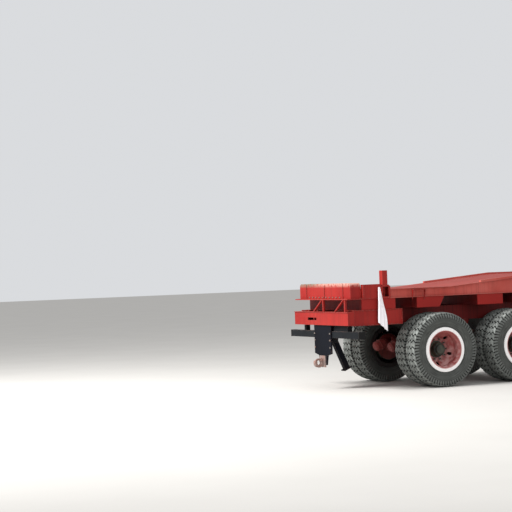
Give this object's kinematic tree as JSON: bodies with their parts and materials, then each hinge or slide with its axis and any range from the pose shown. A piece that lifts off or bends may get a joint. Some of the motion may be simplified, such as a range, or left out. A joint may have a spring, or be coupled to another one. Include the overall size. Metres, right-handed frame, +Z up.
{
  "type": "grain cart running gear",
  "caption": "Heavy cart frame with raised deck, rocking tandem axles, twin block-tread tyres, tail box, rear towing hook, drawbar and jack.",
  "frame": {"origin": "on the ground, under the middle of the whole length and width", "axes": "+X forward to the drawbar eye, +Y to the left side, +Z up"},
  "size_m": [7.101, 2.4372, 1.94],
  "materials": {
    "red_paint": "weathered semi-gloss",
    "under_red": "dusty matt",
    "wheel": "dusty",
    "hub": "greasy cast",
    "steel": "weathered",
    "bare_steel": "worn",
    "spring": "matt",
    "grey_paint": "worn",
    "navy_paint": "worn",
    "tyre": "dusty",
    "cloth": "woven"
  },
  "bodies": {
    "chassis": {"cross_bearers": "red_paint", "deck_brackets": "red_paint", "deck_plate": "red_paint", "drawbar_beam_left": "red_paint", "drawbar_beam_right": "red_paint", "drawbar_head": "red_paint", "drawbar_tie": "red_paint", "flag": "cloth", "frame_bolts": "steel", "front_cross_beam": "red_paint", "hitch_plate": "navy_paint", "jack_tube": "red_paint", "main_rail_left": "under_red", "main_rail_right": "under_red", "rear_cross_beam": "red_paint", "rear_side_beam_left": "red_paint", "rear_side_beam_right": "red_paint", "side_rail_left": "red_paint", "side_rail_right": "red_paint", "stake_pockets": "red_paint", "tail_box": "red_paint", "tail_braces": "red_paint", "tail_floor": "red_paint", "tow_eye": "bare_steel", "towing_hook": "bare_steel", "trunnion_hangers": "under_red", "trunnion_tube": "under_red", "underrun_bar": "grey_paint"},
    "bogie": {"axle_front": "under_red", "axle_rear": "under_red", "brake_chambers": "under_red", "leaf_spring_left": "spring", "leaf_spring_right": "spring", "spring_clamps": "spring", "spring_saddles": "under_red"},
    "hook_latch": {"hook_latch": "bare_steel"},
    "wheel_front_left": {"hub_front_left": "hub", "tyre_front_left_inner": "tyre", "tyre_front_left_outer": "tyre", "wheel_nuts_front_left": "steel", "wheels_front_left": "wheel"},
    "wheel_front_right": {"hub_front_right": "hub", "tyre_front_right_inner": "tyre", "tyre_front_right_outer": "tyre", "wheel_nuts_front_right": "steel", "wheels_front_right": "wheel"},
    "wheel_rear_left": {"hub_rear_left": "hub", "tyre_rear_left_inner": "tyre", "tyre_rear_left_outer": "tyre", "wheel_nuts_rear_left": "steel", "wheels_rear_left": "wheel"},
    "wheel_rear_right": {"hub_rear_right": "hub", "tyre_rear_right_inner": "tyre", "tyre_rear_right_outer": "tyre", "wheel_nuts_rear_right": "steel", "wheels_rear_right": "wheel"},
    "jack_crank": {"jack_crank": "bare_steel"},
    "jack_leg": {"jack_leg": "bare_steel"},
    "prop_leg": {"prop_leg": "navy_paint"},
    "stake": {"stake": "red_paint"}
  },
  "joints": [
    {"name": "bogie_rock", "type": "hinge", "parent": "chassis", "child": "bogie", "pos_m": [-0.9955, 0, 0.68], "axis": [0, 1, 0], "range_deg": [-4, 4]},
    {"name": "wheel_rear_left_spin", "type": "hinge", "parent": "bogie", "child": "wheel_rear_left", "pos_m": [-1.7555, 0.9, 0.612], "axis": [0, 1, 0], "continuous": true},
    {"name": "wheel_rear_right_spin", "type": "hinge", "parent": "bogie", "child": "wheel_rear_right", "pos_m": [-1.7555, -0.9, 0.612], "axis": [0, 1, 0], "continuous": true},
    {"name": "wheel_front_left_spin", "type": "hinge", "parent": "bogie", "child": "wheel_front_left", "pos_m": [-0.2355, 0.9, 0.612], "axis": [0, 1, 0], "continuous": true},
    {"name": "wheel_front_right_spin", "type": "hinge", "parent": "bogie", "child": "wheel_front_right", "pos_m": [-0.2355, -0.9, 0.612], "axis": [0, 1, 0], "continuous": true},
    {"name": "crank_turn", "type": "hinge", "parent": "chassis", "child": "jack_crank", "pos_m": [2.5745, 0.43704, 1.135], "axis": [0, 1, 0], "range_deg": [0, 9000]},
    {"name": "jack_slide", "type": "slide", "parent": "chassis", "child": "jack_leg", "axis": [0, 0, 1], "range_m": [0, 0.3]},
    {"name": "prop_swing", "type": "hinge", "parent": "chassis", "child": "prop_leg", "pos_m": [-3.1755, 0, 0.83], "axis": [0, -1, 0], "range_deg": [-24, 62]},
    {"name": "latch_lift", "type": "hinge", "parent": "chassis", "child": "hook_latch", "pos_m": [-3.42331, 0, 0.48074], "axis": [0, 1, 0], "range_deg": [0, 60]},
    {"name": "stake_lift", "type": "slide", "parent": "chassis", "child": "stake", "axis": [0, 0, 1], "range_m": [0, 0.15]}
  ],
  "couplings": [
    {"joint": "jack_slide", "follows": "crank_turn", "m_per_rad": 0.0019099}
  ]
}
